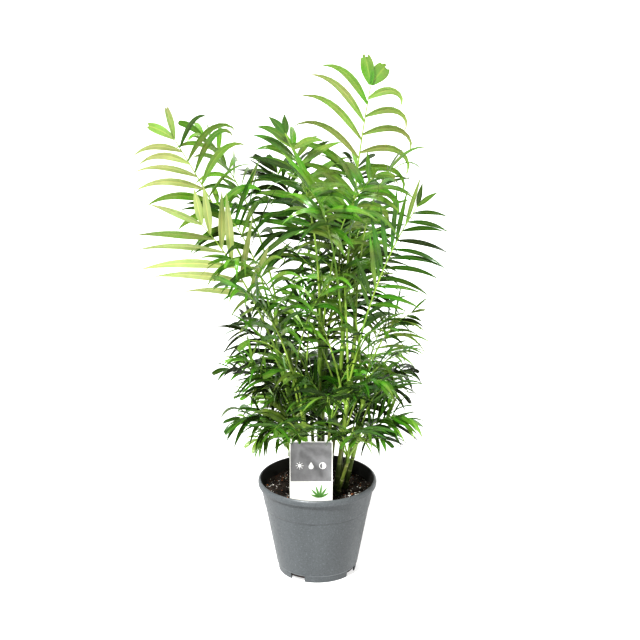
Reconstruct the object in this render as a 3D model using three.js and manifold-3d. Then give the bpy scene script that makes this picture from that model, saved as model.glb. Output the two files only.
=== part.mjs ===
// Parlour palm in a round nursery pot, with its blank-fronted plant label.
// Millimetres, +Z up. The origin is the centre of the pot's flat underside, and -Y is the front.
import * as THREE from 'three';
import { mergeVertices } from 'three/addons/utils/BufferGeometryUtils.js';
import Module from 'manifold-3d';

const wasm = await Module();
wasm.setup();

// ---------------------------------------------------------------- driving sizes
const CLEARANCE = 0.3; // between any two pieces that meet

const POT = {
  height: 140,
  rimRadius: 85,
  footRadius: 56,
  wall: 1.8,
  lipHeight: 9,
  lipProud: 3.6, // how far the turned rim stands out from the wall
  lipChamfer: 1.4,
  lipInset: 0.4, // the bore is this much narrower at the very top
  ledgeHeight: 100, // a shallow step runs round the wall here
  ledgeProud: 0.8,
  stepRise: 0.8, // how steeply the wall steps out at the ledge and at the foot ring
  ringHeight: 10, // the foot ring below the wall
  ringFlare: 1.4, // how much wider the ring is at its top than at its foot
  ringInset: 0.9,
  floorHeight: 3,
  floorThickness: 2.2,
  padRadius: 17, // the moulded pad in the middle of the underside, level with the ring
  notchCount: 4,
  notchFirst: 240, // degrees from +X, a quarter turn apart
  notchWidth: 23,
  notchHeight: 9,
  notchDepth: 12,
  sides: 36,
};

const SOIL_TOP = 124;
const STEM_FOOT = SOIL_TOP + CLEARANCE;

const LABEL = {
  width: 60,
  thickness: 1,
  top: 217,
  centreX: -8.5,
  soilY: -60, // where the card meets the soil
  leanBack: 5, // degrees
  tongueWidth: 26,
  tongueDepth: 30,
  tongueTip: 8, // the tongue narrows to this width, over this length
  shoulder: 4, // the card's lower edge stands this far above the soil
  cornerRadius: 2,
};

// Each cane: where it leaves the soil, where it ends, and how far it bows sideways between.
const CANES = {
  a: { foot: [14, -2], top: [38, 10, 400], bow: [4, 0] },
  b: { foot: [-14, 12], top: [-42, 22, 325], bow: [6, 0] },
  c: { foot: [-20, -6], top: [-50, -16, 318], bow: [6, 0] },
  d: { foot: [2, 10], top: [4, 14, 370], bow: [0, 2] },
  e: { foot: [26, -12], top: [46, -28, 300], bow: [0, 0] },
  f: { foot: [30, 12], top: [54, 30, 350], bow: [0, 0] },
  g: { foot: [40, -2], top: [66, -8, 265], bow: [2, 0] },
  m: { foot: [8, 30], top: [8, 56, 340], bow: [0, 3] },
  l: { foot: [-6, -24], top: [-22, -42, 270], bow: [0, 0] },
  h: { foot: [28, -28], top: [43, -42, 182], bow: [0, 0] },
  i: { foot: [-18, -20], top: [-38, -38, 190], bow: [0, 0] },
  j: { foot: [-22, 26], top: [-38, 46, 192], bow: [0, 0] },
  k: { foot: [8, -34], top: [18, -36, 232], bow: [0, 0] },
  n: { foot: [34, 30], top: [58, 48, 200], bow: [0, 0] },
  o: { foot: [-4, 42], top: [-8, 70, 195], bow: [0, 0] },
};
const CANE = {
  footRadius: 3.3, topRadius: 2.1, flare: 1.35, flareHeight: 0.06, sides: 6, steps: 3,
  overrun: 0.05, // a share of its length, cut off level with the soil
};
const NEAR_TIP = 0.999; // a share of the cane's height just inside its tip

// A frond leaves its cane at the share h of the cane's height. It heads for azimuth az, starts at the
// elevation rise and arches over to the elevation fall. Its petiole and blade are lengths along the rib.
// skew, uneven and hang make one hand's leaflets stand off more, grow longer and hang more than the
// other's. open is how far all of them stand off the rib, and loose how much they differ. broad widens
// them all, and tilt turns their blades, in degrees. fish widens the last pair, and end is its length.
const PLAIN_FROND = {
  h: 1, roll: 0, open: 1, skew: 0, uneven: 0, hang: 0, droop: 0.9, hook: 0, power: 1.6, loose: 0.25,
  broad: 1, fish: 1.7, end: 0.42, tilt: 20, slender: 1,
};
const LEADING_FRONDS = [
  {
    cane: 'a', az: 35, rise: 85, fall: 77, petiole: 128, blade: 176, pairs: 7, leaf: 106,
    roll: -48, skew: 8, uneven: 0.08, droop: 0.6, hook: 90, loose: 0.1, fish: 2.3, end: 0.36,
  },
  {
    cane: 'b', az: 186, rise: 66, fall: 60, petiole: 222, blade: 120, pairs: 6, leaf: 98,
    roll: 66, open: 0.9, skew: 6, droop: 0.8, hook: 40, loose: 0.35, fish: 1.4,
  },
  {
    cane: 'c', az: 188, rise: 70, fall: 50, petiole: 108, blade: 124, pairs: 5, leaf: 118,
    roll: 84, open: 0.7, skew: -4, uneven: 0.2, hang: -0.5, droop: 0.25, loose: 0.2, fish: 1.1, end: 0.6,
  },
  {
    cane: 'd', az: 226, rise: 88, fall: 58, petiole: 132, blade: 156, pairs: 6, leaf: 90,
    roll: -10, open: 1.2, droop: 0.6, loose: 0.4, fish: 1.2,
  },
  {
    cane: 'e', az: -5, rise: 78, fall: 58, petiole: 106, blade: 160, pairs: 11, leaf: 86,
    roll: -66, open: 0.75, skew: 16, hang: 0.5, droop: 0.45, loose: 0.3, broad: 0.68, fish: 1.2, tilt: -25,
  },
  {
    cane: 'f', az: -60, rise: 88, fall: 46, petiole: 160, blade: 108, pairs: 6, leaf: 94,
    roll: -30, droop: 1, hook: 65, loose: 0.4, broad: 0.55, fish: 1.1,
  },
  {
    cane: 'g', az: -15, rise: 82, fall: 32, petiole: 85, blade: 66, pairs: 6, leaf: 66,
    roll: -20, droop: 0.6, loose: 0.6, broad: 0.6,
  },
  {
    cane: 'l', az: 215, rise: 78, fall: 10, petiole: 70, blade: 75, pairs: 5, leaf: 74,
    roll: 30, droop: 1.0, loose: 0.7, broad: 0.65,
  },
  { cane: 'm', az: 120, rise: 84, fall: 50, petiole: 140, blade: 130, pairs: 6, leaf: 90 },
];
// Three older fronds stand lower on each leading cane, and each size differs by up to half its spread.
const OLDER_FRONDS = [
  { h: 0.905, rise: 82, fall: 34, petiole: 135, blade: 125, pairs: 6, leaf: 90, broad: 0.95, droop: 1 },
  { h: 0.775, rise: 78, fall: 22, petiole: 92, blade: 112, pairs: 6, leaf: 84, broad: 0.75, droop: 1.5 },
  { h: 0.555, rise: 72, fall: 12, petiole: 72, blade: 92, pairs: 5, leaf: 72, broad: 0.78, droop: 1.3 },
];
const OLDER_HABIT = { roll: 0, power: 2.2, loose: 1, fish: 1.4 };
const OLDER_SPREAD = {
  h: 0.05, az: 12, rise: 8, fall: 18, petiole: 30, blade: 22, leaf: 8, droop: 0.5, roll: 70,
};
// For each leading cane: the azimuths of its three older fronds, and a share for all their lengths and
// one for their leaflets' width.
const OLDER_SETS = {
  a: [[-114, 62, 173], 1, 1],
  b: [[150, -130, 40], 1.3, 0.9],
  c: [[165, 14, 140], 1, 0.9],
  d: [[-72, 85, -165], 1, 0.85],
  e: [[105, 140, -20], 0.85, 0.65],
  f: [[75, 165, -60], 1, 0.6],
  g: [[120, 60, -48], 0.75, 0.7],
  m: [[130, 55, 73], 1, 0.85],
  l: [[-140, 60, 170], 0.85, 0.75],
};
// The low canes each carry one tuft of four short fronds: the azimuth of the tuft's middle, and a
// share for the length of all its fronds.
const TUFTS = { h: [25, 0.9], i: [150, 0.8], j: [135, 1.2], k: [-60, 1], n: [40, 1], o: [60, 1] };
const TUFT = {
  fronds: 4, apart: 72, // degrees
  sheath: 12, sheathFoot: 2.9, sheathTop: 2.1, sunk: 3,
};
const TUFT_FROND = {
  rise: 72, fall: -10, petiole: 43, blade: 76, pairs: 5, leaf: 63, droop: 1.15, roll: 0,
  power: 1.8, loose: 0.8, broad: 0.84, fish: 1.3, slender: 0.75, tuft: true,
};
const TUFT_SPREAD = {
  az: 24, rise: 14, fall: 24, petiole: 26, blade: 16, leaf: 10, droop: 0.5, roll: 30,
};

// A rib that finds no room turns by these degrees, one after the other.
const RIB_TURNS = [0, 7, -7, 14, -14, 21, -21, 30, -30, 40, -40];
const RIB = { footRadius: 1.9, tipRadius: 0.6, petioleTaper: 0.4, steps: 6, sides: 3, roomShare: 1.3 };
// A leaflet that finds no room grows shorter, or hangs less or more: [length, droop] shares.
const BENDS = [[1, 1], [1, 0.4], [0.9, 1.8], [0.7, 0.7], [0.6, 1.6]];
const LEAF = { widest: 0.4, steps: 8, rootSunk: 5, thinnest: 1, thicknessShare: 1 / 90 };
// How leaflets stand on the rib. Angles are in degrees, and a pair's hands stand one above the other.
const STAND = {
  splayFoot: 66, splayTip: 42, splayLast: 24, lift: 12, hands: [-0.05, 0.25], bladeUsed: 0.985,
};
const LEAF_REACH = { foot: 0.72, middle: 0.36, swellPower: 0.8, tipLess: 0.12 };
const LEAF_WIDTH = { least: 2.5, share: 0.075, wider: 1.15 };
// How much chance moves each of these: a steady part, and a part for loose fronds.
const LEAF_LUCK = {
  splay: [10, 16], place: [0, 0.3], lift: [0, 56], reach: [0.12, 0.24], sag: [0.4, 0.9], tilt: [20, 60],
};
// How soon along a leaflet it hangs and curls: the powers of the share of its length.
const LEAF_LINE = { hang: 1.5, curl: 2.4, curlUneven: 0.5, lastHang: 0.5 };
const SEAT = { gap: 0.9, above: 6, tip: 2 };

const GREENS = [0x8fae3c, 0x4c8a2e, 0x2c6426];
const CANE_GREEN = 0x9aa84a;
const POT_GREY = 0x6f777b;
const SOIL_BROWN = 0x231c18;
const LABEL_WHITE = 0xe9e9e6;

// ---------------------------------------------------------------- small helpers
const UP = new THREE.Vector3(0, 0, 1);
const EAST = new THREE.Vector3(1, 0, 0);
const { degToRad: rad, lerp, clamp } = THREE.MathUtils;

// A number from 0 to 1 that is always the same for the same keys.
function chance(a, b = 0, c = 0, d = 0) {
  const x = Math.sin(12.9898 * a + 78.233 * b + 37.719 * c + 4.581 * d) * 43758.5453;
  return x - Math.floor(x);
}

// The closed solid of a three.js geometry, for joining and cutting.
function solidOf(geometry) {
  geometry.deleteAttribute('normal');
  geometry.deleteAttribute('uv');
  const merged = mergeVertices(geometry, 1e-5);
  return new wasm.Manifold(new wasm.Mesh({
    numProp: 3,
    vertProperties: merged.attributes.position.array,
    triVerts: Uint32Array.from(merged.index.array),
  }));
}

// A named mesh of a solid, with its geometry measured from the given place.
function meshOf(name, solid, material, place = new THREE.Vector3()) {
  const { vertProperties, triVerts } = solid.getMesh();
  const geometry = new THREE.BufferGeometry();
  geometry.setAttribute('position', new THREE.BufferAttribute(Float32Array.from(vertProperties), 3));
  geometry.setIndex(Array.from(triVerts));
  geometry.translate(-place.x, -place.y, -place.z);
  geometry.computeVertexNormals();
  const mesh = new THREE.Mesh(geometry, material);
  mesh.name = name;
  mesh.position.copy(place);
  return mesh;
}

function matt(color, roughness = 0.6) {
  return new THREE.MeshStandardMaterial({ color, roughness, metalness: 0 });
}

// Moves every vertex of a geometry to where the rule puts it.
function reshape(geometry, rule) {
  const position = geometry.attributes.position;
  const vertex = new THREE.Vector3();
  for (let i = 0; i < position.count; i += 1) {
    vertex.fromBufferAttribute(position, i);
    rule(vertex);
    position.setXYZ(i, vertex.x, vertex.y, vertex.z);
  }
  return geometry;
}

// A straight cylinder bent along a row of centres, with a radius for each centre, and the direction
// that lies across it there.
function taperedTube(centres, radii, sides, acrossAt) {
  const steps = centres.length - 1;
  const rings = centres.map((centre, i) => {
    const across = acrossAt(i);
    const tangent = centres[Math.min(i + 1, steps)].clone().sub(centres[Math.max(i - 1, 0)]).normalize();
    const sideways = across.clone().addScaledVector(tangent, -across.dot(tangent)).normalize();
    return { centre, sideways, outwards: sideways.clone().cross(tangent), radius: radii[i] };
  });
  const geometry = new THREE.CylinderGeometry(1, 1, 1, sides, steps);
  return solidOf(reshape(geometry, (vertex) => {
    const { centre, sideways, outwards, radius } = rings[Math.round((vertex.y + 0.5) * steps)];
    const { x, z } = vertex;
    vertex.copy(centre).addScaledVector(sideways, x * radius).addScaledVector(outwards, z * radius);
  }));
}

// A solid of revolution round the vertical axis, from [radius, height] points.
function turned(profile, sides) {
  const points = profile.map(([radius, height]) => new THREE.Vector2(radius, height));
  return solidOf(new THREE.LatheGeometry(points, sides).rotateX(Math.PI / 2));
}

// ---------------------------------------------------------------- pot, soil and label
const wallFoot = POT.footRadius + POT.ringFlare + POT.ringInset;
const wallTop = POT.rimRadius - POT.lipProud;
const lipFoot = POT.height - POT.lipHeight;

// The wall's outer radius at a height, without the ledge and the rim.
function wallRadius(height) {
  return lerp(wallFoot, wallTop, (height - POT.ringHeight) / (lipFoot - POT.ringHeight));
}

function potSolid() {
  const inside = (height) => wallRadius(height) - POT.wall;
  const floorTop = POT.floorHeight + POT.floorThickness;
  const shell = turned([
    [0, 0],
    [POT.padRadius, 0],
    [POT.padRadius, POT.floorHeight],
    [POT.footRadius - POT.wall, POT.floorHeight],
    [POT.footRadius - POT.wall, 0],
    [POT.footRadius, 0],
    [wallFoot - POT.ringInset, POT.ringHeight],
    [wallFoot, POT.ringHeight + POT.stepRise],
    [wallRadius(POT.ledgeHeight) - POT.ledgeProud, POT.ledgeHeight],
    [wallRadius(POT.ledgeHeight), POT.ledgeHeight + POT.stepRise],
    [wallTop, lipFoot],
    [POT.rimRadius - POT.lipChamfer, lipFoot],
    [POT.rimRadius, lipFoot + POT.lipChamfer],
    [POT.rimRadius, POT.height - POT.lipChamfer],
    [POT.rimRadius - POT.lipChamfer, POT.height],
    [wallTop - POT.lipInset, POT.height],
    [inside(lipFoot), lipFoot],
    [inside(floorTop), floorTop],
    [0, floorTop],
  ], POT.sides);
  const width = 2 * POT.footRadius * Math.sin(rad(POT.notchWidth / 2));
  let pot = shell;
  for (let n = 0; n < POT.notchCount; n += 1) {
    const notch = new THREE.BoxGeometry(POT.notchDepth, width, 2 * POT.notchHeight);
    notch.translate(POT.footRadius, 0, 0);
    notch.rotateZ(rad(POT.notchFirst + (360 / POT.notchCount) * n));
    pot = pot.subtract(solidOf(notch));
  }
  return pot;
}

// Card coordinates to the plant's: x across, y up the card from the soil, z through it.
const cardToWorld = new THREE.Matrix4()
  .makeTranslation(LABEL.centreX, LABEL.soilY, SOIL_TOP)
  .multiply(new THREE.Matrix4().makeRotationX(rad(90 - LABEL.leanBack)));

function cardSolid(grow = 0) {
  const height = (LABEL.top - SOIL_TOP) / Math.cos(rad(LABEL.leanBack));
  const half = LABEL.width / 2 + grow;
  const tongue = LABEL.tongueWidth / 2 + grow;
  const top = height + grow;
  const r = LABEL.cornerRadius;
  const tip = LABEL.tongueTip / 2;
  const shoulder = LABEL.shoulder - grow;
  const depth = LABEL.tongueDepth;
  const outline = new THREE.Shape();
  outline.moveTo(-half, shoulder);
  outline.lineTo(-tongue, shoulder);
  outline.lineTo(-tongue, LABEL.tongueTip - depth);
  outline.lineTo(-tip, -depth - grow);
  outline.lineTo(tip, -depth - grow);
  outline.lineTo(tongue, LABEL.tongueTip - depth);
  outline.lineTo(tongue, shoulder);
  outline.lineTo(half, shoulder);
  outline.lineTo(half, top - r);
  outline.absarc(half - r, top - r, r, 0, Math.PI / 2);
  outline.absarc(-half + r, top - r, r, Math.PI / 2, Math.PI);
  const thickness = LABEL.thickness + 2 * grow;
  const settings = { depth: thickness, bevelEnabled: false, curveSegments: 3 };
  const card = new THREE.ExtrudeGeometry(outline, settings);
  return solidOf(card.translate(0, 0, -thickness / 2).applyMatrix4(cardToWorld));
}

function soilSolid() {
  const gap = CLEARANCE / Math.cos(Math.PI / POT.sides);
  const inside = (height) => wallRadius(height) - POT.wall - gap;
  const bottom = POT.floorHeight + POT.floorThickness + CLEARANCE;
  const fill = turned([
    [0, bottom],
    [inside(bottom), bottom],
    [inside(SOIL_TOP), SOIL_TOP],
    [0, SOIL_TOP],
  ], POT.sides);
  return fill.subtract(cardSolid(CLEARANCE));
}

// ---------------------------------------------------------------- canes
function canePoint(cane, h) {
  const foot = new THREE.Vector3(cane.foot[0], cane.foot[1], STEM_FOOT);
  const top = new THREE.Vector3(...cane.top);
  const bow = new THREE.Vector3(cane.bow[0], cane.bow[1], 0);
  return foot.lerp(top, h).addScaledVector(bow, Math.sin(Math.PI * h));
}

function caneRadius(h) {
  const flare = 1 + (CANE.flare - 1) * clamp(1 - h / CANE.flareHeight, 0, 1);
  return lerp(CANE.footRadius, CANE.topRadius, h) * flare;
}

// The cane's solid, with a flat foot level with the soil. A grown one is used to cut what meets it.
function caneSolid(cane, grow = 0) {
  const shares = [-CANE.overrun, 0, CANE.flareHeight];
  for (let i = 1; i <= CANE.steps; i += 1) shares.push(i / CANE.steps);
  const centres = shares.map((h) => canePoint(cane, h));
  const radii = shares.map((h) => caneRadius(Math.max(h, 0)) + grow / Math.cos(Math.PI / CANE.sides));
  const tip = centres.at(-1);
  tip.addScaledVector(tip.clone().sub(centres.at(-2)).normalize(), grow);
  const tube = taperedTube(centres, radii, CANE.sides, () => EAST);
  const block = { width: 60, height: 40 };
  const below = new THREE.BoxGeometry(block.width, block.width, block.height);
  below.translate(centres[1].x, centres[1].y, STEM_FOOT - grow - block.height / 2);
  return tube.subtract(solidOf(below));
}

// ---------------------------------------------------------------- fronds
// The frond's own frame: points along its rib, and its directions at any share of its length.
function courseOf(frond) {
  const { az, rise, fall, petiole, blade, roll, power } = frond;
  const length = petiole + blade;
  const across = new THREE.Vector3(Math.sin(rad(az)), -Math.cos(rad(az)), 0);
  const heading = (s) => {
    const elevation = rad(lerp(rise, fall, s ** power));
    const flat = Math.cos(elevation);
    return new THREE.Vector3(flat * Math.cos(rad(az)), flat * Math.sin(rad(az)), Math.sin(elevation));
  };
  const points = [frond.base.clone()];
  for (let i = 0; i < RIB.steps; i += 1) {
    points.push(points[i].clone().addScaledVector(heading((i + 0.5) / RIB.steps), length / RIB.steps));
  }
  const at = (s) => {
    const x = clamp(s * RIB.steps, 0, RIB.steps - 1e-9);
    const i = Math.floor(x);
    return points[i].clone().lerp(points[i + 1], x - i);
  };
  const axes = (s) => {
    const along = heading(s);
    const normal = across.clone().cross(along);
    const turn = rad(roll);
    const side = across.clone().multiplyScalar(Math.cos(turn)).addScaledVector(normal, Math.sin(turn));
    const face = normal.multiplyScalar(Math.cos(turn)).addScaledVector(across, -Math.sin(turn));
    return { along, side, face };
  };
  return { points, at, axes, length, bladeStart: petiole / length };
}

// The petiole and rachis. It starts inside its cane, and the cane is then cut out of it.
function ribSolid(frond) {
  const { points, axes, bladeStart } = courseOf(frond);
  const radii = points.map((_, i) => {
    const s = i / RIB.steps;
    const worn = s < bladeStart ? RIB.petioleTaper * (s / bladeStart) : s;
    return frond.slender * lerp(RIB.footRadius, RIB.tipRadius, worn);
  });
  const acrossAt = (i) => axes(Math.max(i - 1, 0) / RIB.steps).side;
  return taperedTube([frond.root, ...points], [radii[0], ...radii], RIB.sides, acrossAt);
}

// A leaflet before it is placed: a pyramid at each end of a three-cornered middle.
const BUD = [new THREE.Vector2(0, -1), new THREE.Vector2(1, 0), new THREE.Vector2(0, 1)];
const BUD_CORNER = Math.sin(rad(120));

// One leaflet: a lance-shaped blade, flat above and keeled below, that droops towards its tip. Its
// root is sunk in the rib. A grown one shows whether it keeps clear of the rest.
function leafletSolid(leaflet, grow = 0) {
  const { root, middle, tip, width, thickness } = leaflet;
  const along = tip.clone().sub(root).normalize();
  const edge = leaflet.edge.clone().addScaledVector(along, -leaflet.edge.dot(along)).normalize();
  const face = edge.clone().cross(along);
  return solidOf(reshape(new THREE.LatheGeometry(BUD, 3), (vertex) => {
    const { x, y, z } = vertex;
    if (y > 0.5) vertex.copy(tip).addScaledVector(along, grow);
    else if (y < -0.5) vertex.copy(root);
    else {
      vertex.copy(middle).addScaledVector(edge, (x / BUD_CORNER) * (width / 2 + grow));
      vertex.addScaledVector(face, z > 0 ? thickness + grow : -grow);
    }
  }));
}

// The line of one leaflet in a number of steps. It hangs more and more, and a hooked one curls under.
function leafLine(start, heading, reach, sag, hook) {
  const line = [start];
  for (let j = 0; j < LEAF.steps; j += 1) {
    const x = (j + 0.5) / LEAF.steps;
    const step = heading.clone().addScaledVector(UP, -sag * x ** LEAF_LINE.hang).normalize();
    const down = step.clone().multiplyScalar(step.z).sub(UP).normalize();
    const curled = rad(hook) * x ** LEAF_LINE.curl;
    step.multiplyScalar(Math.cos(curled)).addScaledVector(down, Math.sin(curled));
    line.push(line[j].clone().addScaledVector(step, reach / LEAF.steps));
  }
  return line;
}

// All the leaflets of a frond, in pairs up the blade, with a broad last pair like a fishtail.
function leafletsOf(frond) {
  const { id, pairs, leaf, droop, open, skew, uneven, hang, hook, loose, broad, fish, end, tilt } = frond;
  const { at, axes, length, bladeStart } = courseOf(frond);
  const leaflets = [];
  for (let k = 0; k <= pairs; k += 1) {
    for (const hand of [-1, 1]) {
      const last = k === pairs;
      const luck = {};
      Object.entries(LEAF_LUCK).forEach(([key, [steady, more]], n) => {
        luck[key] = (steady + more * loose) * (chance(id, k, hand, n) - 0.5);
      });
      const offset = STAND.hands[hand > 0 ? 1 : 0] + luck.place;
      const u = last ? 1 : clamp((k + offset) / pairs, 0, 1);
      const s = bladeStart + (1 - bladeStart) * u * STAND.bladeUsed;
      const { along, side, face } = axes(s);
      const apart = last ? STAND.splayLast : open * lerp(STAND.splayFoot, STAND.splayTip, u);
      const splay = rad(apart + luck.splay + (last ? 0 : hand * skew));
      const lift = rad(STAND.lift + luck.lift);
      const heading = along.clone().multiplyScalar(Math.cos(splay))
        .addScaledVector(side, Math.sin(splay) * Math.cos(lift) * hand)
        .addScaledVector(face, Math.sin(splay) * Math.sin(lift))
        .normalize();
      const swell = LEAF_REACH.middle * Math.sin(Math.PI * u ** LEAF_REACH.swellPower);
      const share = last ? end : LEAF_REACH.foot + swell - LEAF_REACH.tipLess * u;
      const reach = leaf * share * (1 + luck.reach) * (1 - uneven * hand);
      const sag = droop * (1 + luck.sag) * (1 + hang * hand) * (last ? LEAF_LINE.lastHang : 1);
      const turn = rad(tilt * hand + luck.tilt);
      const flat = face.clone().cross(heading).normalize();
      const edge = flat.clone().multiplyScalar(Math.cos(turn))
        .addScaledVector(heading.clone().cross(flat), Math.sin(turn));
      const width = (LEAF_WIDTH.least + LEAF_WIDTH.share * leaf) * broad * (last ? fish : LEAF_WIDTH.wider);
      const curl = last ? 0 : hook * (1 + LEAF_LINE.curlUneven * hand);
      const shapes = BENDS.map(([shorter, sagging]) => {
        const line = leafLine(at(s), heading, reach * shorter, sag * sagging, curl);
        return {
          root: at(s - LEAF.rootSunk / length),
          middle: line[Math.round(LEAF.widest * LEAF.steps)],
          tip: line.at(-1),
          edge,
          width,
          thickness: Math.max(LEAF.thinnest, reach * LEAF.thicknessShare),
        };
      });
      leaflets.push({ pair: k, shapes });
    }
  }
  return leaflets;
}

// Where a frond leaves its cane: at the cane's tip, or out of its side.
function seat(frond) {
  const cane = CANES[frond.cane];
  const top = canePoint(cane, 1);
  frond.root = canePoint(cane, frond.h);
  if (frond.tuft) {
    frond.root = top.clone().addScaledVector(UP, SEAT.tip);
    frond.base = frond.root.clone().addScaledVector(UP, TUFT.sunk);
  } else if (frond.h === 1) {
    frond.root = canePoint(cane, NEAR_TIP);
    frond.base = top.addScaledVector(UP, SEAT.tip);
  } else {
    const outwards = new THREE.Vector3(Math.cos(rad(frond.az)), Math.sin(rad(frond.az)), 0);
    const out = caneRadius(frond.h) + RIB.footRadius + SEAT.gap;
    frond.base = frond.root.clone().addScaledVector(outwards, out).addScaledVector(UP, SEAT.above);
  }
  return frond;
}

// A frond whose sizes differ by chance, each by up to half its spread either way.
function varied(frond, spread, set, k) {
  const changed = Object.entries(spread).map(([key, range], n) => {
    return [key, frond[key] + range * (chance(set, k, n) - 0.5)];
  });
  return { ...frond, ...Object.fromEntries(changed) };
}

function olderFronds() {
  return Object.entries(OLDER_SETS).flatMap(([cane, [azimuths, reach, width]], set) => {
    return OLDER_FRONDS.map((older, k) => {
      const petiole = older.petiole * reach;
      const blade = older.blade * reach;
      const broad = older.broad * width;
      const wanted = { ...OLDER_HABIT, ...older, cane, az: azimuths[k], petiole, blade, broad };
      return varied(wanted, OLDER_SPREAD, set, k);
    });
  });
}

function tuftFronds() {
  return Object.entries(TUFTS).flatMap(([cane, [middle, reach]], t) => {
    const petiole = TUFT_FROND.petiole * reach;
    const blade = TUFT_FROND.blade * reach;
    return Array.from({ length: TUFT.fronds }, (_, k) => {
      const az = middle + (k - (TUFT.fronds - 1) / 2) * TUFT.apart;
      const wanted = { ...TUFT_FROND, cane, az, petiole, blade };
      return varied(wanted, TUFT_SPREAD, Object.keys(OLDER_SETS).length + t, k);
    });
  });
}

// A short leaf sheath round the tip of a low cane, which its tuft of fronds stands in.
function sheathSolid(cane) {
  const centres = [canePoint(cane, NEAR_TIP), canePoint(cane, 1).addScaledVector(UP, TUFT.sheath)];
  const radii = [TUFT.sheathFoot, TUFT.sheathTop];
  const tube = taperedTube(centres, radii, CANE.sides, () => EAST);
  return tube.subtract(caneSolid(cane, CLEARANCE));
}

// ---------------------------------------------------------------- growing the plant
// What is already in place, so that nothing new touches it.
const placed = [];

function place(solid, node, frond, pair) {
  placed.push({ solid, node, frond, pair, box: solid.boundingBox() });
}

function isClear(probe, isOwn) {
  const box = probe.boundingBox();
  const apart = (other) => [0, 1, 2].some((k) => box.min[k] > other.max[k] || box.max[k] < other.min[k]);
  return placed.every((item) => isOwn(item) || apart(item.box) || item.solid.intersect(probe).isEmpty());
}

// The largest piece of a solid, without the scraps that a cut leaves.
function mainPiece(solid) {
  return solid.decompose().reduce((best, piece) => (piece.volume() > best.volume() ? piece : best));
}

// A rib that would touch something turns a little and leans out more, until it is clear.
function growRib(frond) {
  const wanted = { az: frond.az, rise: frond.rise };
  const cane = caneSolid(CANES[frond.cane], CLEARANCE);
  const cut = (shape) => mainPiece(ribSolid(shape).subtract(cane));
  for (const [tries, turn] of RIB_TURNS.entries()) {
    frond.az = wanted.az + turn;
    frond.rise = wanted.rise - tries;
    seat(frond);
    const probe = cut({ ...frond, slender: frond.slender * RIB.roomShare });
    if (isClear(probe, (item) => item.node === frond.node)) {
      frond.solid = cut(frond);
      place(frond.solid, frond.node, frond.id);
      return;
    }
  }
  throw new Error(`no room for the rib of ${frond.node}`);
}

// A leaflet that finds room in none of its shapes is left out.
function growLeaflets(frond) {
  for (const { pair, shapes } of leafletsOf(frond)) {
    const isOwn = (item) => item.frond === frond.id && (item.pair ?? pair) === pair;
    const shape = shapes.find((choice) => isClear(leafletSolid(choice, CLEARANCE), isOwn));
    if (shape) {
      const leaflet = leafletSolid(shape);
      place(leaflet, frond.node, frond.id, pair);
      frond.solid = frond.solid.add(leaflet);
    }
  }
}

const fronds = [...LEADING_FRONDS, ...olderFronds(), ...tuftFronds()].map((frond, id) => {
  const node = frond.tuft ? `tuft_${frond.cane}` : `frond_${String(id + 1).padStart(2, '0')}`;
  return { ...PLAIN_FROND, ...frond, id, node };
});

const plant = new THREE.Group();
plant.name = 'parlour_palm';

const fixedPieces = [
  ['pot', potSolid(), matt(POT_GREY, 0.5)],
  ['soil', soilSolid(), matt(SOIL_BROWN, 0.95)],
  ['label', cardSolid(), matt(LABEL_WHITE, 0.4)],
];
for (const [name, solid, material] of fixedPieces) {
  place(solid, name);
  plant.add(meshOf(name, solid, material));
}
for (const [letter, cane] of Object.entries(CANES)) {
  const solid = caneSolid(cane);
  place(solid, `cane_${letter}`);
  plant.add(meshOf(`cane_${letter}`, solid, matt(CANE_GREEN, 0.55), canePoint(cane, 0)));
}

fronds.forEach(growRib);
fronds.forEach(growLeaflets);

for (const node of new Set(fronds.map((frond) => frond.node))) {
  const members = fronds.filter((frond) => frond.node === node);
  const { cane, tuft, id, root } = members[0];
  const pieces = members.map(({ solid }) => solid);
  if (tuft) pieces.push(sheathSolid(CANES[cane]));
  const whole = pieces.reduce((sum, piece) => sum.add(piece));
  const green = GREENS[Math.floor(GREENS.length * chance(id, 11))];
  plant.add(meshOf(node, whole, matt(green, 0.45), root));
}

export default plant;
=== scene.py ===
from dataclasses import dataclass, replace
from math import ceil, cos, exp, floor, hypot, pi, radians, sin
from types import SimpleNamespace as Sizes

import bpy
import numpy as np
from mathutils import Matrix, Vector, kdtree, noise


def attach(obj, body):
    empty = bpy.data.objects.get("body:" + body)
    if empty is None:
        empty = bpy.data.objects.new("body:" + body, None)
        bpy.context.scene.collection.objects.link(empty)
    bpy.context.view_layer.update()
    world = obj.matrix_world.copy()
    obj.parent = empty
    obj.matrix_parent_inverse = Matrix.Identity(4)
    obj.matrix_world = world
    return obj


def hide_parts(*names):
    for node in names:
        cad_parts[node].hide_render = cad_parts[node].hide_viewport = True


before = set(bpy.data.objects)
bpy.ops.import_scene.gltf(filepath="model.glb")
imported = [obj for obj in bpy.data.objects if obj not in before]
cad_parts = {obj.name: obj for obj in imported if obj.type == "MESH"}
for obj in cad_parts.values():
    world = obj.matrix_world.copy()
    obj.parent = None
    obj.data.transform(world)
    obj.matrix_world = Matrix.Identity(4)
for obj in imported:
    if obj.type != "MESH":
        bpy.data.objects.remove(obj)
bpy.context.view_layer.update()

# The finish of the potted parlour palm, in millimetres, with +Z up and the front towards -Y. Its
# plant grows by the source's rule, and the frame's nodes show which choices the rule took.
MM = 0.001
UP = np.array([0.0, 0.0, 1.0])
EAST = np.array([1.0, 0.0, 0.0])
NORTH = np.array([0.0, 1.0, 0.0])
HANDS = (-1, 1)  # left and right

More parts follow.
